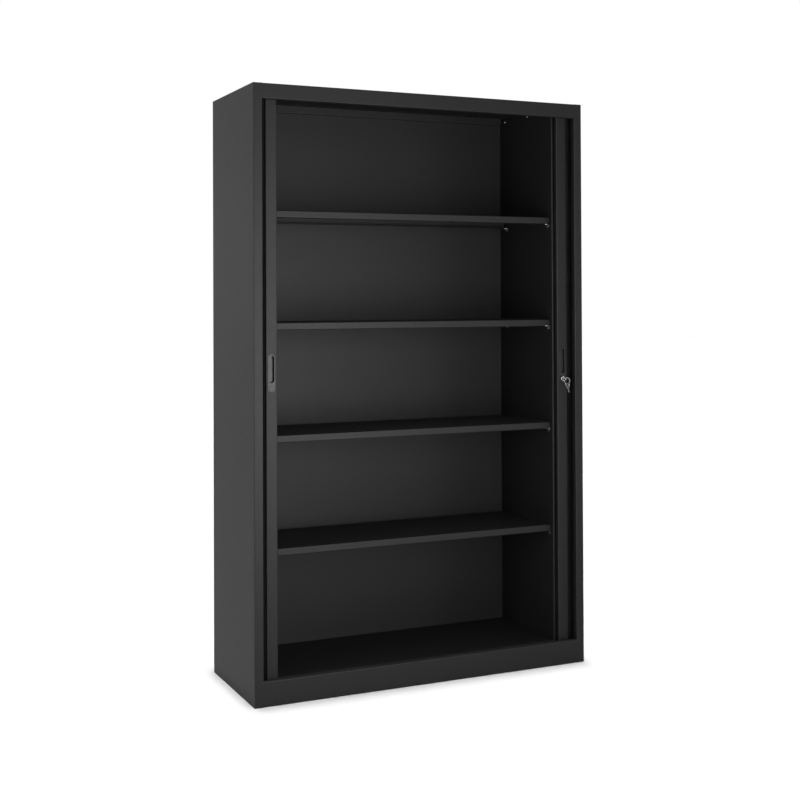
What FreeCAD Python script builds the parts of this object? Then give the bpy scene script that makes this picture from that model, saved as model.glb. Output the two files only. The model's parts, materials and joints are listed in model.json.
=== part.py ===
import FreeCAD
import Part
import math
import os

# Steel cabinet with two side-running tambour doors, drawn with both doors open.
# X runs to the right, Y to the back, Z up, in millimetres.
# The origin is on the floor under the middle of the cabinet.

Vector = FreeCAD.Vector

# Overall size
width = 1200.0
depth = 450.0
height = 1950.0

# Sheet metal
sheet = 1.0
bend = 1.5

# Front frame, rear edges and back
stile_width = 30.0
top_rail_height = 48.5
base_rail_height = 79.0
frame_return = 20.0
rail_lip = 10.0
rear_flange = 20.0
back_recess = 20.0

# Bottom: the pan that carries everything, and the loose inner floor on it
pan_top = 58.0
pan_flange = 25.0
floor_step = 14.0
floor_side_gap = 0.5
floor_set_back = 3.0

# End profile that leads each door
stile_gap = 18.0
profile_width = 38.0
profile_depth = 16.0
profile_set_back = 27.0
profile_wall = 1.6
profile_bend = 1.4
profile_lip = 8.0
profile_end_gap = 1.5
meeting_gap = 2.0

# Slats of the curtain and the bead hinge between them
slat_pitch = 30.0
slat_half_thickness = 0.6
slat_crown = 2.2
slat_bevel = 3.0
slat_end_gap = 1.0
bead_radius = 1.6
bead_clearance = 0.4
socket_wall = 1.0
socket_weld = 0.4
mouth_below = -20.0
mouth_above = 74.0
socket_facets = 4
bead_facets = 6
curtain_tail = 20.0

# Tracks
track_height = 12.0
track_wall = 1.5
track_web = 3.0
groove_clearance = 1.0
lane_side_gap = 2.5
lane_partition_gap = 6.5
lane_rear_gap = 5.5
lane_end_gap = 8.0
corner_facets = 5
turn_facets = 10

# Runners in the ends of the end profiles
runner_grip = 20.0
runner_tongue_length = 26.0
runner_clearance = 0.5
runner_floor_gap = 0.4
runner_chamfer = 2.0

# Partitions, their slots and the angle that holds their top edge
partition_step = 4.0
partition_set_back = 10.0
partition_front_flange = 8.0
partition_rear_flange = 15.0
slot_pitch = 120.0
slot_width = 7.0
slot_height = 8.0
slots_above = 2
slots_below = 2
angle_drop = 30.0
angle_length = 215.0
angle_end_gap = 12.0
angle_leg_gap = 0.5

# Shelves
shelf_count = 4
shelf_pitches = 3
top_shelf_height = 1556.0
shelf_set_back = 13.0
shelf_rear_gap = 34.0
shelf_side_gap = 4.0
shelf_lip = 23.0
shelf_hem = 25.0
shelf_corner = 6.0

# Shelf clips
clip_inset = 16.0
clip_width = 12.0
clip_reach = 14.0
clip_drop = 13.0
clip_sheet = 1.2
clip_tab_reach = 2.5
clip_tab_clearance = 0.5
clip_tab_drop = 3.5

# Strip along the top of the back wall
rear_angle_drop = 27.0
rear_angle_leg = 25.0
rear_angle_stand_off = 8.0
rear_angle_side_gap = 1.0
rear_angle_corner = 6.0

# Screws through the partitions
screw_radius = 2.0
screw_clearance = 0.1
screw_head_radius = 4.0
screw_head_height = 2.0
screw_length = 6.0
screw_drop = 17.5
screw_front_margin = 22.0
screw_rear_margin = 28.0

# Levelling feet
foot_set_backs = [95.0, 335.0]
foot_radius = 5.0
foot_clearance = 0.05
foot_hole_clearance = 0.6
foot_floor_gap = 1.0
foot_head_flats = 24.0
foot_head_height = 8.0
foot_rise = 6.0
nut_flats = 17.0
nut_height = 8.0

# Grip inserts
grip_offset = 1.0
grip_width = 25.0
grip_length = 121.3
grip_bottom = 977.5
grip_flange = 1.2
grip_hole_clearance = 0.5
recess_width = 17.5
recess_length = 86.0
recess_top_margin = 5.2
recess_depth = 9.0
grip_wall = 1.5

# Lock
housing_radius = 8.0
housing_clearance = 0.05
housing_proud = 4.8
cylinder_radius = 6.0
cylinder_clearance = 0.05
cylinder_proud = 0.6
blank_proud = 0.4
cylinder_tail = 6.0
tail_clearance = 0.05
tail_end = 0.6
hook_thickness = 1.8
hook_gap = 0.5
hook_length = 32.0
hook_half_width = 4.0
hook_eye = 7.0
hook_eye_cut = 2.5
barb_depth = 5.0
barb_length = 6.0
window_top = 30.0
window_clearance = 1.5
window_side_gap = 1.2
strike_thickness = 1.5
strike_margin = 10.0

# Keys and ring
key_thickness = 2.2
key_bow_radius = 8.5
key_hole_radius = 3.6
key_hole_offset = 3.0
key_neck_width = 9.0
key_neck_end = 12.0
key_blade_width = 7.2
key_blade_length = 16.6
key_slot_clearance = 0.15
key_notch_count = 4
key_notch_depth = 1.6
ring_radius = 11.0
ring_radial = 1.4
ring_axial = 1.8
ring_lean = 45.0
ring_drop = 0.4
spare_drop = 1.8
spare_turn = 30.0
spare_tilt = 14.0

# Flats on small round pieces
small_facets = 12
hexagon = 6
end_facets = 12
ring_facets = 16
lock_facets = 24

# Planes and lines that the pieces share
half = width / 2
front = -depth / 2
back = depth / 2
ceiling = height - sheet
opening_top = height - top_rail_height
opening_bottom = base_rail_height
stile_edge = half - stile_width
side_face = half - sheet
back_face = back - back_recess
floor_top = pan_top + floor_step

profile_outer = stile_edge - stile_gap
profile_inner = profile_outer - profile_width
profile_front = front + profile_set_back
profile_back = profile_front + profile_depth
profile_bottom = pan_top + track_height + profile_end_gap
profile_top = ceiling - track_height - profile_end_gap
travel = profile_inner - meeting_gap / 2

partition_face = profile_inner - partition_step
partition_outer = partition_face + sheet
partition_front = profile_back + partition_set_back
floor_front = profile_back + floor_set_back
angle_rear = back_face - angle_end_gap
angle_front = angle_rear - angle_length

shelf_half = partition_face - shelf_side_gap
shelf_front = partition_front + shelf_set_back
shelf_back = back_face - shelf_rear_gap
shelf_pitch = shelf_pitches * slot_pitch
shelf_tops = [top_shelf_height - shelf_pitch * i for i in range(shelf_count)]
clip_lines = [shelf_front + clip_inset, shelf_back - clip_inset]

socket_inner = bead_radius + bead_clearance
socket_radius = socket_inner + socket_wall
groove_half = socket_radius + groove_clearance
track_half = groove_half + track_wall
lane_front = (profile_front + profile_back) / 2
hinge_x = profile_outer + socket_radius - socket_weld
lane_outer = side_face - lane_side_gap - track_half
lane_inner = partition_outer + lane_partition_gap + track_half
turn_radius = (lane_outer - lane_inner) / 2
turn_x = (lane_outer + lane_inner) / 2
turn_y = back_face - lane_rear_gap - track_half - turn_radius
corner_radius = lane_outer - hinge_x
corner_y = lane_front + corner_radius
slat_count = math.ceil((travel + curtain_tail) / slat_pitch)
slat_bottom = pan_top + track_web + slat_end_gap
slat_top = ceiling - track_web - slat_end_gap

grip_x = (profile_inner + profile_outer) / 2 + grip_offset
grip_top = grip_bottom + grip_length
grip_face = profile_front - grip_flange
recess_top = grip_top - recess_top_margin
recess_floor = profile_front + recess_depth
grip_back = recess_floor + grip_wall
grip_margin = (grip_width - recess_width) / 2 - grip_wall
lock_z = grip_bottom + grip_width / 2
housing_face = grip_face - housing_proud
cylinder_face = housing_face - cylinder_proud
hook_front = grip_back + hook_gap
hook_back = hook_front + hook_thickness
window_bottom = lock_z - hook_half_width - window_clearance
key_hole_y = cylinder_face - key_neck_end


def block(x0, x1, y0, y1, z0, z1):
    return Part.makeBox(x1 - x0, y1 - y0, z1 - z0, Vector(x0, y0, z0))


def rod_along_y(x, z, radius, y0, y1):
    return Part.makeCylinder(radius, y1 - y0, Vector(x, y0, z), Vector(0, 1, 0))


def mirrored(shape):
    """The same piece on the other side of the cabinet."""
    return shape.mirror(Vector(0, 0, 0), Vector(1, 0, 0))


def joined(first, *others):
    """One solid from pieces that touch or overlap, without seams on its flat faces."""
    solid = first.fuse(list(others)).removeSplitter()
    return solid.Solids[0]


def rounded_face(points, radii, place):
    """A flat face from corner points, each with its own rounding radius."""
    corners = [Vector(a, b, 0) for a, b in points]
    starts, middles, ends = [], [], []
    for i, corner in enumerate(corners):
        towards_last = (corners[i - 1] - corner).normalize()
        towards_next = (corners[(i + 1) % len(corners)] - corner).normalize()
        half_angle = towards_last.getAngle(towards_next) / 2
        reach = radii[i] / math.tan(half_angle)
        bisector = (towards_last + towards_next).normalize() if radii[i] else Vector()
        starts.append(corner + towards_last * reach)
        ends.append(corner + towards_next * reach)
        middles.append(corner + bisector * (radii[i] / math.sin(half_angle) - radii[i]))
    edges = []
    for i in range(len(corners)):
        if radii[i]:
            edges.append(Part.Arc(place(starts[i]), place(middles[i]), place(ends[i])).toShape())
        following = starts[(i + 1) % len(corners)]
        if ends[i].distanceToPoint(following) > 1e-6:
            edges.append(Part.LineSegment(place(ends[i]), place(following)).toShape())
    return Part.Face(Part.Wire(edges))


def upright(z0, z1, points, radii=None):
    """A plan outline raised from z0 to z1."""
    face = rounded_face(points, radii or [0.0] * len(points), lambda p: Vector(p.x, p.y, z0))
    return face.extrude(Vector(0, 0, z1 - z0))


def along_x(x0, x1, points, radii=None):
    """An outline in Y and Z drawn out along X."""
    face = rounded_face(points, radii or [0.0] * len(points), lambda p: Vector(x0, p.x, p.y))
    return face.extrude(Vector(x1 - x0, 0, 0))


def along_y(y0, y1, points, radii=None):
    """An outline in X and Z drawn out along Y."""
    face = rounded_face(points, radii or [0.0] * len(points), lambda p: Vector(p.x, y0, p.y))
    return face.extrude(Vector(0, y1 - y0, 0))


def arc_points(a, b, radius, first, last, pieces):
    """Points on a stretch of a circle, from the first to the last angle in degrees."""
    angles = [math.radians(first + (last - first) * i / pieces) for i in range(pieces + 1)]
    return [(a + radius * math.cos(angle), b + radius * math.sin(angle)) for angle in angles]


def polygon_points(a, b, radius, flats):
    """Corners of a regular polygon drawn round a circle."""
    return arc_points(a, b, radius / math.cos(math.pi / flats), 0, 360, flats)[:-1]


def folded(path, side, thickness=sheet, inside=bend):
    """Outline of a folded sheet: a path, and its copy one thickness to the left (1) or right (-1)."""
    points = [Vector(a, b, 0) for a, b in path]
    normals = []
    for start, end in zip(points, points[1:]):
        along = (end - start).normalize()
        normals.append(Vector(-along.y, along.x, 0) * side)
    offset = [points[0] + normals[0] * thickness]
    near, far = [0.0], [0.0]
    for i in range(1, len(points) - 1):
        both = normals[i - 1] + normals[i]
        offset.append(points[i] + both * (thickness / (1 + normals[i - 1].dot(normals[i]))))
        turns_to_copy = (points[i + 1] - points[i]).dot(normals[i - 1]) > 0
        near.append(inside + thickness if turns_to_copy else inside)
        far.append(inside if turns_to_copy else inside + thickness)
    offset.append(points[-1] + normals[-1] * thickness)
    near.append(0.0)
    far.append(0.0)
    outline = [(p.x, p.y) for p in points + offset[::-1]]
    return outline, near + far[::-1]


def squared(outline, radii, is_square):
    """Rounding radii of an outline, with none at the corners that is_square picks."""
    return [0.0 if is_square(point) else radius for point, radius in zip(outline, radii)]


def stadium(x, z0, z1, across, y0, y1):
    """An upright slot shape with round ends, from z0 to z1, drawn out along Y."""
    radius = across / 2
    top = arc_points(x, z1 - radius, radius, 0, 180, end_facets)
    bottom = arc_points(x, z0 + radius, radius, 180, 360, end_facets)
    return along_y(y0, y1, top + bottom)


def lock_prism(radius, y0, y1):
    """Round body on the lock's axis, drawn with small flats."""
    return along_y(y0, y1, polygon_points(grip_x, lock_z, radius, lock_facets))


# Carcass

def side_panel():
    """Right side: rear flange, side, stile, and the stile's return beside the opening."""
    returned = [(half - rear_flange, back), (half, back), (half, front),
                (stile_edge, front), (stile_edge, front + frame_return)]
    plain = returned[:-1]
    lower = upright(0, opening_bottom, *folded(plain, -1))
    middle = upright(opening_bottom, opening_top, *folded(returned, -1))
    upper = upright(opening_top, height, *folded(plain, -1))
    return joined(lower, middle, upper)


def top_panel():
    """Top with its front rail between the stiles and its rear flange between the side flanges."""
    front_path = [(front + frame_return, opening_top), (front, opening_top), (front, height), (0, height)]
    rear_path = [(0, height), (back, height), (back, height - rear_flange)]
    flange_edge = half - rear_flange
    front_half = along_x(-stile_edge, stile_edge, *folded(front_path, -1))
    rear_half = along_x(-flange_edge, flange_edge, *folded(rear_path, -1))
    corner = 2 * bend
    ear_outline = [(stile_edge, front + sheet), (side_face - corner, front + sheet),
                   (side_face, front + sheet + corner), (side_face, back - sheet - corner),
                   (side_face - corner, back - sheet), (flange_edge, back - sheet),
                   (flange_edge, 0), (stile_edge, 0)]
    ear = upright(ceiling, height, ear_outline)
    return joined(front_half, rear_half, ear, mirrored(ear))


def base_rail():
    path = [(front + frame_return, 0), (front, 0), (front, base_rail_height),
            (front + frame_return, base_rail_height), (front + frame_return, base_rail_height - rail_lip)]
    return along_x(-stile_edge, stile_edge, *folded(path, -1))


def base_pan():
    """Inverted tray between the side panels, behind the base rail and in front of the back."""
    corner = sheet + bend
    low = pan_top - pan_flange
    length_path = [(front + sheet, low), (front + sheet, pan_top), (back_face, pan_top), (back_face, low)]
    length_outline, _ = folded(length_path, -1)
    tray = along_x(corner - side_face, side_face - corner, length_outline)
    side_path = [(side_face - 2 * corner, pan_top), (side_face, pan_top), (side_face, low)]
    side_outline, _ = folded(side_path, -1)
    wing = along_y(front + sheet + corner, back_face - corner, side_outline)
    holes = [upright(pan_top - sheet, pan_top,
                     polygon_points(x, y, foot_radius + foot_hole_clearance, small_facets))
             for x, y in foot_places()]
    return joined(tray, wing, mirrored(wing)).cut(holes).Solids[0]


def inner_floor():
    edge = partition_face - floor_side_gap
    path = [(floor_front, pan_top), (floor_front, floor_top), (back_face, floor_top), (back_face, pan_top)]
    return along_x(-edge, edge, *folded(path, -1))


def back_panel():
    """Shallow tray, set in from the rear edges and flanged back towards them on all four sides."""
    rear = back - sheet - bend
    path = [(-side_face, rear), (-side_face, back_face), (side_face, back_face), (side_face, rear)]
    tray = upright(0, ceiling, *folded(path, 1))
    inside = side_face - sheet - bend
    top_flange = block(-inside, inside, back_face + sheet, rear, ceiling - sheet, ceiling)
    bottom_flange = block(-inside, inside, back_face + sheet, rear, 0, sheet)
    return joined(tray, top_flange, bottom_flange)


def rear_top_angle():
    """Strip along the top of the back wall, stood off from it, with its lower corners cut off."""
    edge = partition_face - rear_angle_side_gap
    bottom = ceiling - rear_angle_drop
    face = back_face - rear_angle_stand_off
    low = bottom + sheet
    path = [(face - rear_angle_leg, ceiling), (face, ceiling), (face, low), (back_face, low)]
    angle = along_x(-edge, edge, *folded(path, -1))
    outline = [(edge, bottom), (edge, bottom + rear_angle_corner), (edge - rear_angle_corner, bottom)]
    corner = along_y(face - sheet, back_face, outline)
    return angle.cut([corner, mirrored(corner)]).Solids[0]


def slot_heights():
    """Middle heights of the slots in one row, in step with the shelf clips."""
    highest = shelf_tops[0] - shelf_lip - clip_tab_drop - slot_height / 2
    rows = (shelf_count - 1) * shelf_pitches + slots_below + slots_above + 1
    return [highest + (slots_above - i) * slot_pitch for i in range(rows)]


def screw_places():
    lines = [angle_front + screw_front_margin, angle_rear - screw_rear_margin]
    return [(y, ceiling - screw_drop) for y in lines]


def screw_holes(x0, x1):
    """Holes for the partition screws through the sheet between x0 and x1."""
    return [along_x(x0, x1, polygon_points(y, z, screw_radius + screw_clearance, small_facets))
            for y, z in screw_places()]


def partition():
    """Right partition: slotted wall with a flange at its front edge and one against the back."""
    path = [(partition_face + partition_front_flange, partition_front), (partition_face, partition_front),
            (partition_face, back_face), (partition_face + partition_rear_flange, back_face)]
    wall = upright(pan_top, ceiling, *folded(path, -1))
    slots = [block(partition_face, partition_outer, y - slot_width / 2, y + slot_width / 2,
                   z - slot_height / 2, z + slot_height / 2)
             for y in clip_lines for z in slot_heights()]
    return wall.cut(slots + screw_holes(partition_face, partition_outer)).Solids[0]


def partition_angle():
    """Angle under the top, in the pocket, that the right partition is screwed to."""
    leg_end = lane_inner - track_half - angle_leg_gap
    path = [(partition_outer, ceiling - angle_drop), (partition_outer, ceiling), (leg_end, ceiling)]
    angle = along_y(angle_front, angle_rear, *folded(path, -1))
    return angle.cut(screw_holes(partition_outer, partition_outer + sheet)).Solids[0]


def partition_screws():
    screws = []
    for y, z in screw_places():
        shank = along_x(partition_face, partition_face + screw_length,
                        polygon_points(y, z, screw_radius, small_facets))
        head = along_x(partition_face - screw_head_height, partition_face,
                       polygon_points(y, z, screw_head_radius, small_facets))
        screw = joined(shank, head)
        screws += [screw, mirrored(screw)]
    return Part.makeCompound(screws)


def shelf(top):
    """Shelf with a hemmed lip at the front and the rear, its lip corners cut off."""
    low = top - shelf_lip
    path = [(shelf_front + shelf_hem, low), (shelf_front, low), (shelf_front, top),
            (shelf_back, top), (shelf_back, low), (shelf_back - shelf_hem, low)]
    section, radii = folded(path, -1)
    tray = along_x(-shelf_half, shelf_half, section, squared(section, radii, lambda point: point[0] > 0))
    outline = [(shelf_half, low), (shelf_half, low + shelf_corner), (shelf_half - shelf_corner, low)]
    corner = along_y(shelf_front, shelf_back, outline)
    return tray.cut([corner, mirrored(corner)]).Solids[0]


def shelf_clip(y, top):
    """Right-hand clip: a ledge under the shelf's hem, a leg on the partition and a tab in its slot."""
    path = [(partition_face - clip_reach, top), (partition_face, top), (partition_face, top - clip_drop)]
    outline, _ = folded(path, -1, clip_sheet)
    bracket = along_y(y - clip_width / 2, y + clip_width / 2, outline)
    tab_half = slot_width / 2 - clip_tab_clearance
    tab_top = top - clip_tab_drop - clip_tab_clearance
    tab_bottom = top - clip_tab_drop - slot_height + clip_tab_clearance
    tab = block(partition_face, partition_face + clip_tab_reach, y - tab_half, y + tab_half,
                tab_bottom, tab_top)
    return joined(bracket, tab)


def shelf_clips():
    clips = []
    for top in shelf_tops:
        for y in clip_lines:
            clip = shelf_clip(y, top - shelf_lip)
            clips += [clip, mirrored(clip)]
    return Part.makeCompound(clips)


# Levelling feet

def foot_places():
    return [(x, front + s) for x in (-turn_x, turn_x) for s in foot_set_backs]


def foot_nuts():
    """Nuts welded under the base pan."""
    top = pan_top - sheet
    low = top - nut_height
    nuts = []
    for x, y in foot_places():
        nut = upright(low, top, polygon_points(x, y, nut_flats / 2, hexagon))
        bore = upright(low, top, polygon_points(x, y, foot_radius + foot_clearance, small_facets))
        nuts.append(nut.cut(bore))
    return Part.makeCompound(nuts)


def levelling_foot(x, y):
    """Screw whose hexagon head is the foot."""
    head_top = foot_floor_gap + foot_head_height
    head = upright(foot_floor_gap, head_top, polygon_points(x, y, foot_head_flats / 2, hexagon))
    shank = upright(head_top, pan_top + foot_rise, polygon_points(x, y, foot_radius, small_facets))
    return joined(head, shank)


# Tracks and curtains

def front_track(z0, z1, groove_z0, groove_z1):
    """Straight channel across the front, for the runners and the drawn-out slats of both doors."""
    bar = block(-hinge_x, hinge_x, lane_front - track_half, lane_front + track_half, z0, z1)
    groove = block(-hinge_x, hinge_x, lane_front - groove_half, lane_front + groove_half, groove_z0, groove_z1)
    return bar.cut(groove)


def lane_line(offset, end_y):
    """Points along the right-hand lane, set off to its outer side: corner, side, turn and return."""
    corner = arc_points(hinge_x, corner_y, corner_radius + offset, -90, 0, corner_facets)
    turn = arc_points(turn_x, turn_y, turn_radius + offset, 0, 180, turn_facets)
    return corner + turn + [(lane_inner - offset, end_y)]


def lane_strip(half_width, end_y, z0, z1):
    return upright(z0, z1, lane_line(half_width, end_y) + lane_line(-half_width, end_y)[::-1])


def lane_point(distance):
    """Point on the middle of the right-hand lane, this far along it from the end profile's hinge."""
    corner_length = corner_radius * math.pi / 2
    side_length = turn_y - corner_y
    turn_length = turn_radius * math.pi
    if distance <= corner_length:
        angle = distance / corner_radius - math.pi / 2
        return Vector(hinge_x + corner_radius * math.cos(angle), corner_y + corner_radius * math.sin(angle), 0)
    if distance <= corner_length + side_length:
        return Vector(lane_outer, corner_y + distance - corner_length, 0)
    past_side = distance - corner_length - side_length
    if past_side <= turn_length:
        angle = past_side / turn_radius
        return Vector(turn_x + turn_radius * math.cos(angle), turn_y + turn_radius * math.sin(angle), 0)
    return Vector(lane_inner, turn_y - (past_side - turn_length), 0)


def slat_hinges():
    """Hinge points of the curtain along its lane, one slat pitch apart in a straight line."""
    distances = [0.0]
    for _ in range(slat_count):
        start = lane_point(distances[-1])
        low = distances[-1]
        high = low + 2 * slat_pitch
        while high - low > 1e-6:
            middle = (low + high) / 2
            if start.distanceToPoint(lane_point(middle)) < slat_pitch:
                low = middle
            else:
                high = middle
        distances.append(high)
    return [lane_point(distance) for distance in distances]


def side_track(z0, z1, groove_z0, groove_z1):
    """Right-hand channel round the corner, along the pocket and back, closed at its far end."""
    end_y = slat_hinges()[-1].y - lane_end_gap
    strip = lane_strip(track_half, end_y - track_wall, z0, z1)
    return strip.cut(lane_strip(groove_half, end_y, groove_z0, groove_z1))


def hinge_socket(x, y, z0, z1):
    """Open ring that holds the next slat's bead and lets it swing to one side only."""
    first, last = mouth_above, 360 + mouth_below
    outside = arc_points(x, y, socket_radius, first, last, socket_facets)
    inside = arc_points(x, y, socket_inner, first, last, socket_facets)
    return upright(z0, z1, outside + inside[::-1])


def slat():
    """One slat, lying along X from its bead at the origin, with its crowned face to the front."""
    thin = slat_half_thickness
    start = 2 * socket_radius - bead_radius
    end = slat_pitch - socket_radius
    rim = slat_pitch - (socket_inner + socket_radius) / 2
    outline = [(0, thin), (0, -thin), (start, -thin), (start + slat_bevel, -slat_crown),
               (end - slat_bevel, -slat_crown), (end, -thin), (rim, -thin), (rim, thin)]
    plate = upright(slat_bottom, slat_top, outline)
    bead = upright(slat_bottom, slat_top, arc_points(0, 0, bead_radius, 0, 360, bead_facets)[:-1])
    return joined(plate, bead, hinge_socket(slat_pitch, 0, slat_bottom, slat_top))


def curtain():
    """All slats of the right-hand curtain, each hooked into the one before it."""
    pattern = slat()
    hinges = slat_hinges()
    slats = []
    for start, end in zip(hinges, hinges[1:]):
        piece = pattern.copy()
        angle = math.degrees(math.atan2(end.y - start.y, end.x - start.x))
        piece.rotate(Vector(0, 0, 0), Vector(0, 0, 1), angle)
        piece.translate(start)
        slats.append(piece)
    return Part.makeCompound(slats)


# Doors

def hook_window(x0, x1):
    """Way through an upright wall for the lock hook, between x0 and x1."""
    return block(x0, x1, hook_front - window_side_gap, hook_back + window_side_gap,
                 window_bottom, lock_z + window_top)


def end_profile():
    """Right end profile: hollow section, hinge for the first slat, holes for the grip and the hook."""
    path = [(profile_inner + profile_lip, profile_back), (profile_inner, profile_back),
            (profile_inner, profile_front), (profile_outer, profile_front),
            (profile_outer, profile_back), (profile_outer - profile_lip, profile_back)]
    outline, radii = folded(path, 1, profile_wall, profile_bend)
    front_radii = squared(outline, radii, lambda point: point[1] > lane_front)
    section = upright(profile_bottom, profile_top, outline, front_radii)
    profile = joined(section, hinge_socket(hinge_x, lane_front, profile_bottom, profile_top))
    margin = grip_margin - grip_hole_clearance
    grip_hole = stadium(grip_x, grip_bottom + margin, grip_top - margin, grip_width - 2 * margin,
                        profile_front, profile_front + profile_wall)
    return profile.cut([grip_hole, hook_window(profile_inner, profile_inner + profile_wall)]).Solids[0]


def runner(block_bottom, block_top, tongue_bottom, tongue_top):
    """Right-hand runner: a block that fills the end of the profile, and a tongue in the track."""
    left = profile_inner + profile_wall
    right = profile_outer - profile_wall
    near = profile_front + profile_wall
    far = profile_back - profile_wall
    outline = [(left, near + runner_chamfer), (left + runner_chamfer, near), (right - runner_chamfer, near),
               (right, near + runner_chamfer), (right, far), (left, far)]
    body = upright(block_bottom, block_top, outline)
    middle = (left + right) / 2
    thickness = groove_half - runner_clearance
    tongue = block(middle - runner_tongue_length / 2, middle + runner_tongue_length / 2,
                   lane_front - thickness, lane_front + thickness, tongue_bottom, tongue_top)
    return joined(body, tongue)


def runners():
    lower = runner(profile_bottom, profile_bottom + runner_grip,
                   pan_top + track_web + runner_floor_gap, profile_bottom)
    upper = runner(profile_top - runner_grip, profile_top,
                   profile_top, ceiling - track_web - runner_floor_gap)
    return Part.makeCompound([lower, upper])


def grip():
    """Right grip: a slim plate on the profile, and behind it a body with a finger recess and lock bore."""
    plate = stadium(grip_x, grip_bottom, grip_top, grip_width, grip_face, profile_front)
    body = stadium(grip_x, grip_bottom + grip_margin, grip_top - grip_margin, grip_width - 2 * grip_margin,
                   profile_front, grip_back)
    recess = stadium(grip_x, recess_top - recess_length, recess_top, recess_width, grip_face, recess_floor)
    bore = lock_prism(housing_radius + housing_clearance, grip_face, grip_back)
    return joined(plate, body).cut([recess, bore]).Solids[0]


def lock_blank():
    """Plug that closes the lock bore of the left grip, placed on the right before mirroring."""
    return lock_prism(housing_radius, grip_face - blank_proud, grip_back)


def strike_plate():
    """Plate behind the inner wall of the left profile, placed on the right before mirroring."""
    inside = profile_inner + profile_wall
    plate = block(inside, inside + strike_thickness, profile_front + profile_wall + profile_bend,
                  profile_back - profile_wall, window_bottom - strike_margin,
                  lock_z + window_top + strike_margin)
    return plate.cut(hook_window(inside, inside + strike_thickness))


def lock_housing():
    tube = lock_prism(housing_radius, housing_face, grip_back)
    return tube.cut(rod_along_y(grip_x, lock_z, cylinder_radius + cylinder_clearance, housing_face, grip_back))


def tail_block(half_width, y0, y1):
    return block(grip_x - half_width, grip_x + half_width, y0, y1, lock_z - half_width, lock_z + half_width)


def lock_cylinder():
    """Barrel with the keyway in its face and a square tail for the hook."""
    barrel = rod_along_y(grip_x, lock_z, cylinder_radius, cylinder_face, hook_front)
    tail = tail_block(cylinder_tail / 2, hook_front, hook_back + tail_end)
    slot_half = key_thickness / 2 + key_slot_clearance
    slot_rise = key_blade_width / 2 + key_slot_clearance
    keyway = block(grip_x - slot_half, grip_x + slot_half, cylinder_face,
                   cylinder_face + key_blade_length + key_slot_clearance,
                   lock_z - slot_rise, lock_z + slot_rise)
    return joined(barrel, tail).cut(keyway).Solids[0]


def lock_hook():
    """Hook on the barrel's tail: upright when unlocked, barb towards the other door."""
    eye_corner = hook_eye - hook_eye_cut
    barb = hook_half_width + barb_depth
    outline = [(hook_half_width, hook_length), (hook_half_width, hook_eye), (hook_eye, eye_corner),
               (hook_eye, -eye_corner), (eye_corner, -hook_eye), (-eye_corner, -hook_eye),
               (-hook_eye, -eye_corner), (-hook_eye, eye_corner), (-hook_half_width, hook_eye),
               (-hook_half_width, hook_length - barb_length), (-barb, hook_length - barb_length),
               (-barb, hook_length)]
    plate = along_y(hook_front, hook_back, [(grip_x + a, lock_z + b) for a, b in outline])
    return plate.cut(tail_block(cylinder_tail / 2 + tail_clearance, hook_front, hook_back))


# Keys

def key_blank():
    """Key lying in the XY plane, its ring hole at the origin and its blade along X."""
    low = -key_thickness / 2
    high = key_thickness / 2
    bow = upright(low, high, polygon_points(key_hole_offset, 0, key_bow_radius, ring_facets))
    side = key_blade_width / 2
    neck = key_neck_width / 2
    step = key_blade_length / (key_notch_count + 1)
    tip = key_neck_end + key_blade_length
    outline = [(key_hole_offset, -neck), (key_neck_end, -neck), (key_neck_end, -side),
               (tip - step / 2, -side), (tip, 0)]
    for i in range(key_notch_count):
        valley = tip - step * (i + 1)
        outline += [(valley + step / 2, side), (valley, side - key_notch_depth)]
    outline += [(key_neck_end + step / 2, side), (key_neck_end, side), (key_neck_end, neck),
                (key_hole_offset, neck)]
    blade = upright(low, high, outline)
    hole = upright(low, high, polygon_points(0, 0, key_hole_radius, small_facets))
    return joined(bow, blade).cut(hole).Solids[0]


def lock_key():
    """Key in the keyway, its flat upright and its shoulder against the barrel."""
    key = key_blank()
    key.rotate(Vector(0, 0, 0), Vector(0, 0, 1), 90)
    key.rotate(Vector(0, 0, 0), Vector(0, 1, 0), 90)
    key.translate(Vector(grip_x, key_hole_y, lock_z))
    return key


def ring_middle():
    lean = math.radians(ring_lean)
    rest = lock_z - ring_drop
    return Vector(grip_x + ring_radius * math.sin(lean), key_hole_y, rest - ring_radius * math.cos(lean))


def key_ring():
    """Flat split ring through the hole of the key in the lock."""
    middle = ring_middle()
    near = middle.y - ring_axial / 2
    far = middle.y + ring_axial / 2
    outside = along_y(near, far, polygon_points(middle.x, middle.z, ring_radius + ring_radial / 2, ring_facets))
    inside = along_y(near, far, polygon_points(middle.x, middle.z, ring_radius - ring_radial / 2, ring_facets))
    return outside.cut(inside)


def spare_key():
    """Second key, hanging a little askew from the lowest point of the ring."""
    key = key_blank()
    key.rotate(Vector(0, 0, 0), Vector(0, 1, 0), 90)
    key.rotate(Vector(0, 0, 0), Vector(0, 0, 1), spare_turn)
    key.translate(Vector(0, 0, -spare_drop))
    key.rotate(Vector(0, 0, 0), Vector(0, 1, 0), -spare_tilt)
    key.translate(ring_middle() - Vector(0, 0, ring_radius))
    return key


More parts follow.
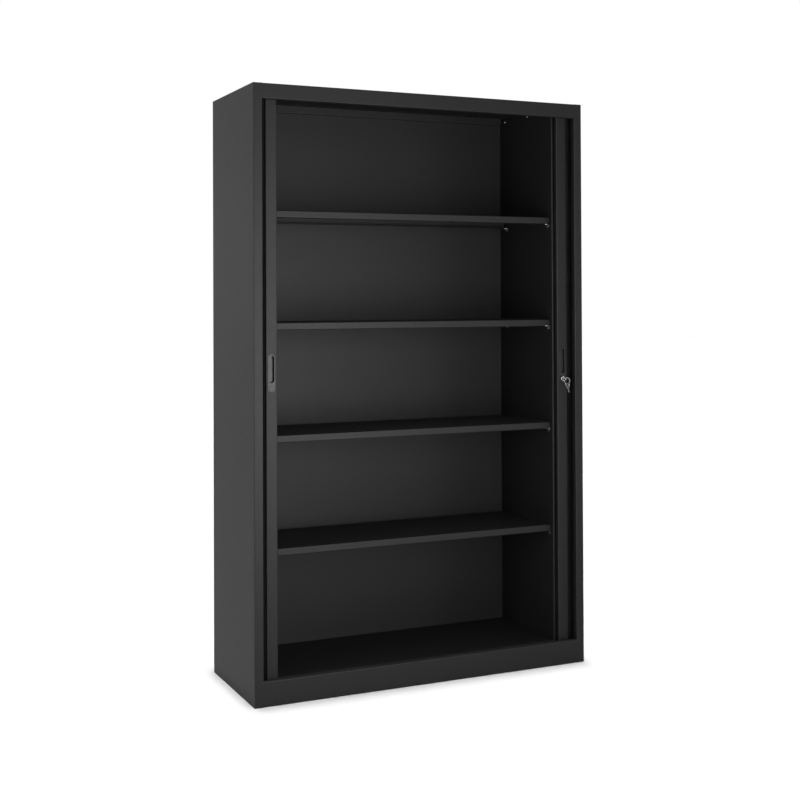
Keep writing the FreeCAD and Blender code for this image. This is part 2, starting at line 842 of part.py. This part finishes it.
def all_parts():
    parts = {
        "top_panel": top_panel(),
        "base_rail": base_rail(),
        "base_pan": base_pan(),
        "inner_floor": inner_floor(),
        "back_panel": back_panel(),
        "rear_top_angle": rear_top_angle(),
        "partition_screws": partition_screws(),
        "shelf_clips": shelf_clips(),
        "foot_nuts": foot_nuts(),
        "lower_front_track": front_track(pan_top, pan_top + track_height,
                                         pan_top + track_web, pan_top + track_height),
        "upper_front_track": front_track(ceiling - track_height, ceiling,
                                         ceiling - track_height, ceiling - track_web),
        "left_lock_blank": mirrored(lock_blank()),
        "left_strike_plate": mirrored(strike_plate()),
        "lock_housing": lock_housing(),
        "lock_cylinder": lock_cylinder(),
        "lock_hook": lock_hook(),
        "lock_key": lock_key(),
        "key_ring": key_ring(),
        "spare_key": spare_key(),
    }
    pairs = {
        "side_panel": side_panel(),
        "partition": partition(),
        "partition_angle": partition_angle(),
        "lower_side_track": side_track(pan_top, pan_top + track_height,
                                       pan_top + track_web, pan_top + track_height),
        "upper_side_track": side_track(ceiling - track_height, ceiling,
                                       ceiling - track_height, ceiling - track_web),
        "tambour_slats": curtain(),
        "end_profile": end_profile(),
        "runners": runners(),
        "grip": grip(),
    }
    for name, shape in pairs.items():
        parts["right_" + name] = shape
        parts["left_" + name] = mirrored(shape)
    for i, top in enumerate(shelf_tops):
        parts[f"shelf_{i + 1}"] = shelf(top)
    for i, (x, y) in enumerate(foot_places()):
        parts[f"levelling_foot_{i + 1}"] = levelling_foot(x, y)
    return parts


os.makedirs("parts", exist_ok=True)
for name, shape in all_parts().items():
    shape.exportStep(f"parts/{name}.step")
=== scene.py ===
import json
import math
from itertools import product

import bmesh
import bpy
from mathutils import Matrix, Vector


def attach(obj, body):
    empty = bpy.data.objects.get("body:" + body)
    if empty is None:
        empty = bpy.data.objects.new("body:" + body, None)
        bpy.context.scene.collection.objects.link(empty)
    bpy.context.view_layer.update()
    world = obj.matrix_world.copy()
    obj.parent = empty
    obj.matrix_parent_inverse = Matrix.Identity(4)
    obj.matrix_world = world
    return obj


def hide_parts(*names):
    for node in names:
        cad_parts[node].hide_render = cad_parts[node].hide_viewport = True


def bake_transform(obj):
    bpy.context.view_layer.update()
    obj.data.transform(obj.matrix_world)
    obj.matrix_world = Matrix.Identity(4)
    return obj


# Lengths are in metres where a name says nothing else. The cabinet faces -Y.

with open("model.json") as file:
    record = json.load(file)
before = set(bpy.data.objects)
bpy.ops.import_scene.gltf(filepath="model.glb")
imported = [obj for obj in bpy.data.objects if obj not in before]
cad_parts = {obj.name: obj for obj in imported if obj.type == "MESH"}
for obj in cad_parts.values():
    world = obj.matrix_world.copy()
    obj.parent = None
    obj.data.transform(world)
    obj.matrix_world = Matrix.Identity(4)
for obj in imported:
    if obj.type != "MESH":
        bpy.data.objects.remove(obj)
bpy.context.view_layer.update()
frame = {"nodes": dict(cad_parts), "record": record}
scene = bpy.context.scene


# Camera at the photograph's angle

image_side = 800
camera_place = (-1.86295, -4.14424, 1.27051)
camera_yaw = math.radians(25.437)
camera_pitch = math.radians(0.671)
camera_roll = math.radians(-0.249)
focal_pixels = 1310.28
axis_pixel = (427.89, 283.53)
sensor_mm = 36.0
view_reach = 100.0


def make_camera():
    """Camera whose optical axis meets the picture off its middle, as in the photograph."""
    data = bpy.data.cameras.new("photo_camera")
    data.sensor_width = sensor_mm
    data.lens = sensor_mm * focal_pixels / image_side
    data.shift_x = (image_side / 2 - axis_pixel[0]) / image_side
    data.shift_y = (axis_pixel[1] - image_side / 2) / image_side
    data.clip_end = view_reach
    forward = Vector((math.sin(camera_yaw) * math.cos(camera_pitch),
                      math.cos(camera_yaw) * math.cos(camera_pitch), math.sin(camera_pitch)))
    level = Vector((math.cos(camera_yaw), -math.sin(camera_yaw), 0))
    upward = level.cross(forward)
    right = level * math.cos(camera_roll) + upward * math.sin(camera_roll)
    top = upward * math.cos(camera_roll) - level * math.sin(camera_roll)
    camera = bpy.data.objects.new("photo_camera", data)
    facing = Matrix((right, top, -forward)).transposed()
    camera.matrix_world = Matrix.Translation(camera_place) @ facing.to_4x4()
    scene.collection.objects.link(camera)
    scene.camera = camera


# Floor, background and lights

studio_white = (1, 1, 1, 1)
studio_fill = 0.13
floor_reach = 30.0
floor_colour = (0.8, 0.8, 0.8, 1)
top_light_strength = 3.75
top_light_spread = math.radians(2.6)
top_light_tilts = [math.radians(tilt) for tilt in (-1.5, 0.0, 1.5)]
lamp_width = 0.6
# Each lamp's place, the point that it is aimed at, its height and its watts
sheen_lamps = {
    "front_light": ((0.05, -2.3, 1.0), (-0.5, 0, 1.05), 1.5, 112.0),
    "right_light": ((1.8, -2.2, 0.95), (0.4, 0, 1.0), 1.5, 9.0),
    "side_light": ((-1.5, 2.2, 1.5), (-0.6, 0, 1.35), 0.6, 0.8),
    "left_light": ((-4.2, -1.5, 1.2), (-0.4, -0.2, 1.0), 1.5, 260.0),
    "back_light": ((0.3, 3.2, 1.5), (0, 0.2, 1.2), 1.5, 110.0),
    "far_light": ((3.6, -0.2, 1.5), (0.6, 0, 1.2), 1.5, 110.0),
}


def seen_by_eye(tree):
    """1 for rays that show the background: straight from the camera, mirrored or let through."""
    path = tree.nodes.new("ShaderNodeLightPath")
    seen = path.outputs["Is Camera Ray"]
    for kind in ("Is Glossy Ray", "Is Transmission Ray"):
        either = tree.nodes.new("ShaderNodeMath")
        either.operation = "MAXIMUM"
        tree.links.new(seen, either.inputs[0])
        tree.links.new(path.outputs[kind], either.inputs[1])
        seen = either.outputs[0]
    return seen


def make_world():
    """White studio all round, which gives only a share of its brightness as fill light."""
    world = bpy.data.worlds.new("studio")
    scene.world = world
    world.use_nodes = True
    tree = world.node_tree
    background = tree.nodes["Background"]
    background.inputs["Color"].default_value = studio_white
    strength = tree.nodes.new("ShaderNodeMapRange")
    strength.inputs["To Min"].default_value = studio_fill
    strength.inputs["To Max"].default_value = 1.0
    tree.links.new(seen_by_eye(tree), strength.inputs["Value"])
    tree.links.new(strength.outputs["Result"], background.inputs["Strength"])


def make_floor():
    """Pale floor that keeps the object's shadow."""
    mesh = bpy.data.meshes.new("floor")
    signs = ((-1, -1), (1, -1), (1, 1), (-1, 1))
    mesh.from_pydata([(a * floor_reach, b * floor_reach, 0) for a, b in signs], [], [(0, 1, 2, 3)])
    floor = bpy.data.objects.new("floor", mesh)
    scene.collection.objects.link(floor)
    material = bpy.data.materials.new("floor_white")
    material.use_nodes = True
    tree = material.node_tree
    tree.nodes.remove(tree.nodes["Principled BSDF"])
    pale = tree.nodes.new("ShaderNodeBsdfDiffuse")
    pale.inputs["Color"].default_value = floor_colour
    tree.links.new(pale.outputs[0], tree.nodes["Material Output"].inputs["Surface"])
    mesh.materials.append(material)


def make_top_lights():
    """Light from straight above, in a short row from front to back, which leaves a short soft shadow."""
    for place, tilt in enumerate(top_light_tilts):
        data = bpy.data.lights.new(f"top_light_{place}", "SUN")
        data.energy = top_light_strength / len(top_light_tilts)
        data.angle = top_light_spread
        lamp = bpy.data.objects.new(f"top_light_{place}", data)
        lamp.rotation_euler = (tilt, 0, 0)
        scene.collection.objects.link(lamp)


def make_lamp(name, place, aim, height, watts):
    """Soft upright lamp that points at aim and gives sheen, not fill."""
    data = bpy.data.lights.new(name, "AREA")
    data.shape = "RECTANGLE"
    data.size = lamp_width
    data.size_y = height
    data.energy = watts
    lamp = bpy.data.objects.new(name, data)
    lamp.location = place
    lamp.rotation_euler = (Vector(aim) - Vector(place)).to_track_quat("-Z", "Y").to_euler()
    lamp.visible_diffuse = False
    scene.collection.objects.link(lamp)


# Material building blocks

# A noise mostly stays between these two values
noise_low = 0.3
noise_high = 0.7


def start_material(name, metallic=0.0, specular=0.5):
    """New material with its node tree and its shader."""
    material = bpy.data.materials.new(name)
    material.use_nodes = True
    shader = material.node_tree.nodes["Principled BSDF"]
    shader.inputs["Metallic"].default_value = metallic
    shader.inputs["Specular IOR Level"].default_value = specular
    return material, material.node_tree, shader


def stretched(tree, stretch=(1, 1, 1)):
    """Places on the piece, multiplied along each axis."""
    coordinates = tree.nodes.new("ShaderNodeTexCoord")
    mapping = tree.nodes.new("ShaderNodeMapping")
    mapping.inputs["Scale"].default_value = stretch
    tree.links.new(coordinates.outputs["Object"], mapping.inputs["Vector"])
    return mapping.outputs["Vector"]


def noise(tree, places, scale=1.0, detail=2.0):
    """Soft random value, finer with a larger scale."""
    node = tree.nodes.new("ShaderNodeTexNoise")
    node.inputs["Scale"].default_value = scale
    node.inputs["Detail"].default_value = detail
    tree.links.new(places, node.inputs["Vector"])
    return node.outputs["Fac"]


def cells(tree, places, scale):
    """Random value of each crystal-like cell."""
    node = tree.nodes.new("ShaderNodeTexVoronoi")
    node.inputs["Scale"].default_value = scale
    tree.links.new(places, node.inputs["Vector"])
    split = tree.nodes.new("ShaderNodeSeparateColor")
    tree.links.new(node.outputs["Color"], split.inputs["Color"])
    return split.outputs["Red"]


def tint(tree, shader, value, dark, light):
    """Base colour that goes from dark to light with the value."""
    ramp = tree.nodes.new("ShaderNodeValToRGB")
    first, last = ramp.color_ramp.elements
    first.position = noise_low
    first.color = (*dark, 1)
    last.position = noise_high
    last.color = (*light, 1)
    tree.links.new(value, ramp.inputs["Fac"])
    tree.links.new(ramp.outputs["Color"], shader.inputs["Base Color"])


def vary_roughness(tree, shader, value, low, high):
    """Roughness that goes from low to high with the value."""
    scaled = tree.nodes.new("ShaderNodeMapRange")
    scaled.inputs["From Min"].default_value = noise_low
    scaled.inputs["From Max"].default_value = noise_high
    scaled.inputs["To Min"].default_value = low
    scaled.inputs["To Max"].default_value = high
    tree.links.new(value, scaled.inputs["Value"])
    tree.links.new(scaled.outputs["Result"], shader.inputs["Roughness"])


def bump(tree, shader, height, depth, strength):
    """Surface relief of this depth."""
    node = tree.nodes.new("ShaderNodeBump")
    node.inputs["Distance"].default_value = depth
    node.inputs["Strength"].default_value = strength
    tree.links.new(height, node.inputs["Height"])
    tree.links.new(node.outputs["Normal"], shader.inputs["Normal"])


# Finishes

def powder_coat(name):
    """Charcoal powder coat: fine orange peel, and faint uneven gloss over each sheet."""
    material, tree, shader = start_material(name, specular=0.118)
    places = stretched(tree)
    clouds = noise(tree, places, scale=5.0, detail=4.0)
    tint(tree, shader, clouds, dark=(0.0118, 0.0118, 0.0122), light=(0.0128, 0.0128, 0.0132))
    vary_roughness(tree, shader, noise(tree, places, scale=60.0, detail=3.0), low=0.515, high=0.545)
    bump(tree, shader, noise(tree, places, scale=900.0), depth=0.00012, strength=0.35)
    return material


def slat_plastic():
    """Extruded slats: drawn lines along their length."""
    material, tree, shader = start_material("slat_plastic", specular=0.2)
    drawn = noise(tree, stretched(tree, (400, 400, 3)), detail=3.0)
    tint(tree, shader, drawn, dark=(0.015, 0.015, 0.0155), light=(0.020, 0.020, 0.0205))
    vary_roughness(tree, shader, drawn, low=0.38, high=0.5)
    bump(tree, shader, drawn, depth=0.00008, strength=0.4)
    return material


def track_plastic():
    """Dark moulded plastic, rubbed smoother along the run."""
    material, tree, shader = start_material("track_plastic", specular=0.4)
    rubbed = noise(tree, stretched(tree, (6, 6, 300)))
    tint(tree, shader, rubbed, dark=(0.014, 0.014, 0.015), light=(0.024, 0.024, 0.026))
    vary_roughness(tree, shader, rubbed, low=0.4, high=0.65)
    bump(tree, shader, noise(tree, stretched(tree), scale=1500.0), depth=0.00006, strength=0.4)
    return material


def grip_plastic():
    """Moulded plastic with a fine leather-like grain."""
    material, tree, shader = start_material("grip_plastic", specular=0.16)
    places = stretched(tree)
    clouds = noise(tree, places, scale=40.0, detail=3.0)
    tint(tree, shader, clouds, dark=(0.011, 0.011, 0.0115), light=(0.014, 0.014, 0.0145))
    vary_roughness(tree, shader, noise(tree, places, scale=250.0), low=0.4, high=0.5)
    bump(tree, shader, noise(tree, places, scale=2200.0), depth=0.00008, strength=0.6)
    return material


def lock_chrome():
    """Polished chrome with faint turning marks."""
    material, tree, shader = start_material("lock_chrome", metallic=1.0)
    marks = noise(tree, stretched(tree, (1, 6, 1)), scale=700.0, detail=3.0)
    tint(tree, shader, marks, dark=(0.27, 0.27, 0.28), light=(0.34, 0.34, 0.35))
    vary_roughness(tree, shader, marks, low=0.1, high=0.2)
    bump(tree, shader, marks, depth=0.00001, strength=0.3)
    return material


def zinc_steel():
    """Zinc plate with a faint crystal pattern."""
    material, tree, shader = start_material("zinc_steel", metallic=1.0)
    places = stretched(tree)
    crystals = cells(tree, places, scale=350.0)
    tint(tree, shader, crystals, dark=(0.28, 0.282, 0.286), light=(0.36, 0.362, 0.366))
    vary_roughness(tree, shader, crystals, low=0.22, high=0.34)
    bump(tree, shader, noise(tree, places, scale=900.0), depth=0.00005, strength=0.3)
    return material


def key_steel():
    """Nickel plate, brushed and scratched in use."""
    material, tree, shader = start_material("key_steel", metallic=1.0)
    scratches = noise(tree, stretched(tree, (300, 300, 2500)), detail=4.0)
    tint(tree, shader, scratches, dark=(0.16, 0.16, 0.155), light=(0.24, 0.24, 0.235))
    vary_roughness(tree, shader, scratches, low=0.14, high=0.26)
    bump(tree, shader, scratches, depth=0.00003, strength=0.4)
    return material


finishes = {
    "cabinet_paint": powder_coat("cabinet_paint"),
    "door_paint": powder_coat("door_paint"),
    "slat_plastic": slat_plastic(),
    "track_plastic": track_plastic(),
    "grip_plastic": grip_plastic(),
    "lock_chrome": lock_chrome(),
    "zinc_steel": zinc_steel(),
    "key_steel": key_steel(),
}


def dress_nodes():
    """Gives every CAD node the finish of its slot."""
    for row in frame["record"]["subparts"]:
        mesh = frame["nodes"][row["node"]].data
        mesh.materials.clear()
        mesh.materials.append(finishes[row["material_slot"]])


# Building blocks of the finer pieces

arc_steps = 48
plate_edge_steps = 2


def add_piece(name, mesh, body, slot, nodes):
    """Puts a mesh in the scene in place of CAD nodes, moving with their body."""
    mesh.materials.append(finishes[slot])
    piece = bpy.data.objects.new(name, mesh)
    scene.collection.objects.link(piece)
    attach(piece, body)
    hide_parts(*nodes)


def turn(angle, axis):
    """Rotation by an angle in degrees."""
    return Matrix.Rotation(math.radians(angle), 4, axis)


def circle_points(a, b, radius, first=0.0, last=360.0, count=arc_steps):
    """Points on an arc between two angles in degrees, without its last point."""
    angles = [math.radians(first + (last - first) * step / count) for step in range(count)]
    return [(a + radius * math.cos(angle), b + radius * math.sin(angle)) for angle in angles]


def evaluated_mesh(carrier):
    """Mesh of an object as its curve or its modifiers make it."""
    graph = bpy.context.evaluated_depsgraph_get()
    return bpy.data.meshes.new_from_object(carrier.evaluated_get(graph))


def plate(outlines, thickness, edge):
    """Flat plate in XY with rounded edges. Outlines after the first are holes, drawn clockwise."""
    curve = bpy.data.curves.new("plate", "CURVE")
    curve.dimensions = "2D"
    curve.fill_mode = "BOTH"
    curve.extrude = thickness / 2 - edge
    curve.bevel_depth = edge
    curve.bevel_resolution = plate_edge_steps
    curve.offset = -edge
    for points in outlines:
        spline = curve.splines.new("POLY")
        spline.points.add(len(points) - 1)
        spline.use_cyclic_u = True
        for place, (a, b) in zip(spline.points, points):
            place.co = (a, b, 0, 1)
    carrier = bpy.data.objects.new("plate", curve)
    scene.collection.objects.link(carrier)
    mesh = evaluated_mesh(carrier)
    bpy.data.objects.remove(carrier)
    mesh.materials.clear()
    return mesh


def mesh_of(shape, name):
    """Mesh of a bmesh, which isn't needed any more."""
    mesh = bpy.data.meshes.new(name)
    shape.to_mesh(mesh)
    shape.free()
    return mesh


def finished(shape, name):
    """Mesh of a bmesh, with its faces turned outward."""
    bmesh.ops.recalc_face_normals(shape, faces=shape.faces)
    return mesh_of(shape, name)


def skin(shape, loops):
    """Faces between neighbouring closed loops of the same number of points."""
    count = len(loops[0])
    for one, other in zip(loops, loops[1:]):
        for a, b in zip(range(-1, count - 1), range(count)):
            shape.faces.new((one[a], one[b], other[b], other[a]))


def capped_skin(shape, loops):
    """Closed skin over loops, with a face across the first and the last one."""
    skin(shape, loops)
    shape.faces.new(loops[0])
    shape.faces.new(loops[-1])


def lathe_loops(shape, profile, count):
    """Loop of points about the Z axis for each (radius, height) point."""
    return [[shape.verts.new((x, y, height)) for x, y in circle_points(0, 0, radius, count=count)]
            for radius, height in profile]


def turned_ring(profile, count):
    """Ring about the Z axis from a closed profile."""
    shape = bmesh.new()
    loops = lathe_loops(shape, profile, count)
    skin(shape, loops + loops[:1])
    return finished(shape, "turned_ring")


def turned_solid(profile, count):
    """Solid about the Z axis, with a flat face at both ends of the profile."""
    shape = bmesh.new()
    capped_skin(shape, lathe_loops(shape, profile, count))
    return finished(shape, "turned_solid")


def cut(mesh, tool):
    """The mesh less the tool."""
    carriers = [bpy.data.objects.new("cut", piece) for piece in (mesh, tool)]
    for carrier in carriers:
        scene.collection.objects.link(carrier)
    modifier = carriers[0].modifiers.new("cut", "BOOLEAN")
    modifier.operation = "DIFFERENCE"
    modifier.solver = "EXACT"
    modifier.object = carriers[1]
    result = evaluated_mesh(carriers[0])
    for carrier in carriers:
        bpy.data.objects.remove(carrier)
    return result


def joined(meshes):
    """One mesh from several."""
    shape = bmesh.new()
    for mesh in meshes:
        shape.from_mesh(mesh)
    return mesh_of(shape, "joined")


# Lock collar, keys and ring

lock_x = 0.534
lock_z = 0.990
collar_face = -0.2040
collar_length = 0.0165
collar_radius = 0.0080
collar_bore = 0.00605
bore_chamfer = 0.0004
collar_rim = 0.0006
collar_rim_steps = 6
key_hole_y = -0.2166
key_hole = Vector((lock_x, key_hole_y, lock_z))
key_thickness = 0.0022
key_edge = 0.00035
key_hole_radius = 0.0036
bow_middle = 0.0030
bow_radius = 0.0085
neck_half = 0.0045
neck_end = 0.0120
blade_half = 0.0036
blade_length = 0.0166
notch_count = 4
notch_depth = 0.0016
ring_radius = 0.0110
ring_lean = math.radians(45)
ring_drop = 0.0004
ring_radial = 0.0014
coil_pitch = 0.0009
coil_width = 0.00084
# Wire's section, as shares of half its radial size and of its width
wire_section = [(1, 0.3), (0.7, 0.5), (-0.7, 0.5), (-1, 0.3),
                (-1, -0.3), (-0.7, -0.5), (0.7, -0.5), (1, -0.3)]
crossing_degrees = 150.0
crossing_half_degrees = 12.0
coil_steps = 120
spare_drop = 0.0018
spare_turn_degrees = 30.0
spare_tilt_degrees = -14.0


def lock_collar():
    """Turned collar with a rounded rim round the lock cylinder."""
    rim_radius = collar_radius - collar_rim
    rim = circle_points(rim_radius, collar_length - collar_rim, collar_rim, 0, 90, collar_rim_steps)
    outside = [(collar_radius, 0.0)] + rim + [(rim_radius, collar_length)]
    inside = [(collar_bore + bore_chamfer, collar_length), (collar_bore, collar_length - bore_chamfer),
              (collar_bore, 0.0)]
    mesh = turned_ring(outside + inside, arc_steps)
    mesh.transform(Matrix.Translation((lock_x, collar_face + collar_length, lock_z)) @ turn(90, "X"))
    return mesh


def key_blank():
    """Key with its hole at the middle and its blade along X."""
    meeting = math.degrees(math.asin(neck_half / bow_radius))
    step = blade_length / (notch_count + 1)
    tip = neck_end + blade_length
    outline = circle_points(bow_middle, 0, bow_radius, meeting, 360 - meeting)
    outline += [(neck_end, -neck_half), (neck_end, -blade_half), (tip - step / 2, -blade_half), (tip, 0)]
    for notch in range(1, notch_count + 1):
        valley = tip - step * notch
        outline += [(valley + step / 2, blade_half), (valley, blade_half - notch_depth)]
    outline += [(neck_end + step / 2, blade_half), (neck_end, blade_half), (neck_end, neck_half)]
    hole = circle_points(0, 0, key_hole_radius, 360, 0)
    return plate([outline, hole], key_thickness, key_edge)


def key_in_lock():
    """Key with its blade in the lock cylinder."""
    mesh = key_blank()
    mesh.transform(Matrix.Translation(key_hole) @ turn(90, "Y") @ turn(90, "Z"))
    return mesh


def ring_middle():
    """Middle of the ring, which hangs to one side of the key's hole."""
    lean = Vector((math.sin(ring_lean), 0, -math.cos(ring_lean)))
    return key_hole - Vector((0, 0, ring_drop)) + lean * ring_radius


def hanging_key():
    """Spare key at the lowest point of the ring."""
    mesh = key_blank()
    hang = turn(spare_tilt_degrees, "Y") @ Matrix.Translation((0, 0, -spare_drop))
    hang = hang @ turn(spare_turn_degrees, "Z") @ turn(90, "Y")
    mesh.transform(Matrix.Translation(ring_middle() - Vector((0, 0, ring_radius))) @ hang)
    return mesh


def split_ring():
    """Flat wire wound twice, which crosses from one coil to the other beside its two ends."""
    first = crossing_degrees + crossing_half_degrees
    last = crossing_degrees + 720 - crossing_half_degrees
    half = ring_radial / 2
    middle = ring_middle()
    shape = bmesh.new()
    loops = []
    for step in range(coil_steps + 1):
        angle = first + (last - first) * step / coil_steps
        share = (angle - crossing_degrees - 360 + crossing_half_degrees) / (2 * crossing_half_degrees)
        coil = (min(max(share, 0.0), 1.0) - 0.5) * coil_pitch
        outward = Vector((math.cos(math.radians(angle)), 0, math.sin(math.radians(angle))))
        loop = []
        for radial, along in wire_section:
            sideways = Vector((0, coil + along * coil_width, 0))
            loop.append(shape.verts.new(middle + outward * (ring_radius + radial * half) + sideways))
        loops.append(loop)
    capped_skin(shape, loops)
    return finished(shape, "split_ring")


# Partition screws

screw_x = 0.510
screw_lines = [0.0, 0.165]
screw_z = 1.9315
screw_sides = 32
head_radius = 0.0040
head_height = 0.0020
# Dome's outline, as shares of the head's radius and height
head_dome = [(1.0, 0.0), (1.0, 0.25), (0.97, 0.5), (0.88, 0.75), (0.72, 0.92), (0.4, 1.0)]
shank_radius = 0.0020
shank_length = 0.0060
cross_reach = 0.0022
cross_half = 0.0005
cross_depth = 0.0012


def pan_screw():
    """Domed head with a cross recess, standing on its shank along Z."""
    shank = [(shank_radius, -shank_length), (shank_radius, 0.0)]
    head = [(head_radius * a, head_height * b) for a, b in head_dome]
    body = turned_solid(shank + head, screw_sides)
    arm = [(cross_reach, -cross_half), (cross_reach, cross_half), (cross_half, cross_half)]
    corners = [turn(90 * quarter, "Z") @ Vector((a, b, 0)) for quarter in range(4) for a, b in arm]
    shape = bmesh.new()
    loops = [[shape.verts.new((place.x, place.y, head_height + height)) for place in corners]
             for height in (-cross_depth, cross_depth)]
    capped_skin(shape, loops)
    return cut(body, finished(shape, "cross"))


def partition_screws():
    """Screws through the top of both partitions."""
    screws = []
    for side, y in product((-1, 1), screw_lines):
        screw = pan_screw()
        screw.transform(Matrix.Translation((side * screw_x, y, screw_z)) @ turn(-90 * side, "Y"))
        screws.append(screw)
    return joined(screws)


# Shelf clips

clip_face = 0.510
clip_tops = [1.533, 1.173, 0.813, 0.453]
clip_lines = [-0.143, 0.155]
clip_sheet = 0.0012
clip_half = 0.0060
clip_reach = 0.0130
clip_drop = 0.0118
clip_bend = 0.0014
clip_corner = 0.0035
tab_reach = 0.0025
tab_half = 0.0030
tab_top = -0.0040
tab_bottom = -0.0110
round_steps = 8
# Share of a step by which the rounded ends start beside the tip, so that no loop shrinks to a line
tip_step = 0.4
# Corners of the sheet's section: side, and place in its thickness
sheet_corners = [(-1, 0.5), (1, 0.5), (1, -0.5), (-1, -0.5)]


def clip_stations():
    """Stations from tongue tip to leg end: the sheet's middle in x and z, outward direction, half width."""
    ledge = -clip_sheet / 2
    steps = range(round_steps + 1)
    angles = [math.radians(90 * (step + tip_step) / (round_steps + tip_step)) for step in steps]
    stations = []
    for angle in angles:
        x = -clip_reach + clip_half * (1 - math.cos(angle))
        stations.append((x, ledge, (0, 1), clip_half * math.sin(angle)))
    for step in steps:
        angle = math.radians(90 - 90 * step / round_steps)
        across = math.cos(angle)
        up = math.sin(angle)
        x = ledge - clip_bend + clip_bend * across
        z = ledge - clip_bend + clip_bend * up
        stations.append((x, z, (across, up), clip_half))
    for angle in reversed(angles):
        z = -clip_drop + clip_corner * (1 - math.cos(angle))
        stations.append((ledge, z, (1, 0), clip_half - clip_corner * (1 - math.sin(angle))))
    return stations


def shelf_clip():
    """Folded clip: a round tongue under the shelf, a leg on the partition and a tab in its slot."""
    shape = bmesh.new()
    loops = []
    for x, z, (across, up), half in clip_stations():
        loop = []
        for side, depth in sheet_corners:
            place = (x + across * depth * clip_sheet, side * half, z + up * depth * clip_sheet)
            loop.append(shape.verts.new(place))
        loops.append(loop)
    capped_skin(shape, loops)
    tab_corners = [(-1, tab_top), (1, tab_top), (1, tab_bottom), (-1, tab_bottom)]
    tab = [[shape.verts.new((x, side * tab_half, z)) for side, z in tab_corners] for x in (0.0, tab_reach)]
    capped_skin(shape, tab)
    return finished(shape, "shelf_clip")


def shelf_clips():
    """Clips under the four shelves, on both partitions."""
    clips = []
    for turned, y, z in product((0, 180), clip_lines, clip_tops):
        clip = shelf_clip()
        place = Matrix.Translation((0, y, z)) @ turn(turned, "Z")
        clip.transform(place @ Matrix.Translation((clip_face, 0, 0)))
        clips.append(clip)
    return joined(clips)


# Grips

grip_edge = 0.0006
grip_edge_steps = 3
same_place = 0.000001
flat_angle = math.radians(1)
sharp_angle = math.radians(50)


def softened_grip(node):
    """Moulded grip: the CAD shape with its sharp edges rounded."""
    shape = bmesh.new()
    shape.from_mesh(frame["nodes"][node].data)
    bmesh.ops.remove_doubles(shape, verts=shape.verts, dist=same_place)
    bmesh.ops.dissolve_limit(shape, angle_limit=flat_angle, verts=shape.verts, edges=shape.edges)
    sharp = [edge for edge in shape.edges if edge.is_manifold and edge.calc_face_angle() > sharp_angle]
    bmesh.ops.bevel(shape, geom=sharp, offset=grip_edge, segments=grip_edge_steps, profile=0.5,
                    affect="EDGES", clamp_overlap=True)
    return mesh_of(shape, f"{node}_softened")


# Drawn-out part of each curtain

curtain_slats = 17
curtain_start = 0.5598
curtain_end = 0.5578
curtain_groove = -0.1921
curtain_relief = 0.0009
curtain_skin = 0.00025
curtain_bottom = 0.0625
curtain_top = 1.9445
groove_share = 0.08
crown_share = 0.25
# Shares of a slat's width at which its face has points
slat_stations = [0.0, 0.03, 0.06, groove_share, 0.2, 0.35, 0.5, 0.65, 0.8, 1 - groove_share, 0.94, 0.97]


def slat_height(share):
    """Height of a slat's face over its grooves, from 0 to 1, at this share of its width."""
    edge = min(share, 1 - share) / groove_share
    rise = math.sin(min(edge, 1.0) * math.pi / 2)
    return rise * (1 - crown_share * (2 * share - 1) ** 2)


def rest_share(moved_share):
    """Where between the face's start and end a point stands, for this share of the door's way.

    This is the inverse of the easing 3 t^2 - 2 t^3.
    """
    return 0.5 - math.sin(math.asin(1 - 2 * moved_share) / 3)


def curtain_face(side, door):
    """Face of the slats that the door draws out. With the door open it is gathered at the first hinge."""
    stations = [((slat + share) / curtain_slats, slat_height(share))
                for slat in range(curtain_slats) for share in slat_stations]
    stations.append((1.0, 0.0))
    corners = [(0, curtain_bottom), (0, curtain_top),
               (curtain_skin, curtain_top), (curtain_skin, curtain_bottom)]
    shape = bmesh.new()
    columns = []
    for station, height in stations:
        x = side * (curtain_start + (curtain_end - curtain_start) * rest_share(station))
        y = curtain_groove - curtain_relief * height
        columns.append([shape.verts.new((x, y + back, z)) for back, z in corners])
    capped_skin(shape, columns)
    mesh = finished(shape, f"{door}_curtain_face")
    mesh.materials.append(finishes["slat_plastic"])
    face = bpy.data.objects.new(f"{door}_curtain_face", mesh)
    scene.collection.objects.link(face)
    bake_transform(face)


# The whole scene

make_camera()
make_world()
make_floor()
make_top_lights()
for lamp_name, (place, aim, height, watts) in sheen_lamps.items():
    make_lamp(lamp_name, place, aim, height, watts)
scene.view_settings.view_transform = "Standard"

dress_nodes()
for side, door in ((-1, "left_door"), (1, "right_door")):
    curtain_face(side, door)
for hand in ("left", "right"):
    add_piece(f"{hand}_moulded_grip", softened_grip(f"{hand}_grip"), f"{hand}_door", "grip_plastic",
              [f"{hand}_grip"])
add_piece("lock_collar", lock_collar(), "right_door", "lock_chrome", ["lock_housing"])
add_piece("cut_key", key_in_lock(), "lock", "key_steel", ["lock_key"])
add_piece("split_ring", split_ring(), "ring", "key_steel", ["key_ring"])
add_piece("hanging_key", hanging_key(), "spare_key", "key_steel", ["spare_key"])
add_piece("pan_head_screws", partition_screws(), "carcass", "zinc_steel", ["partition_screws"])
add_piece("folded_clips", shelf_clips(), "carcass", "zinc_steel", ["shelf_clips"])
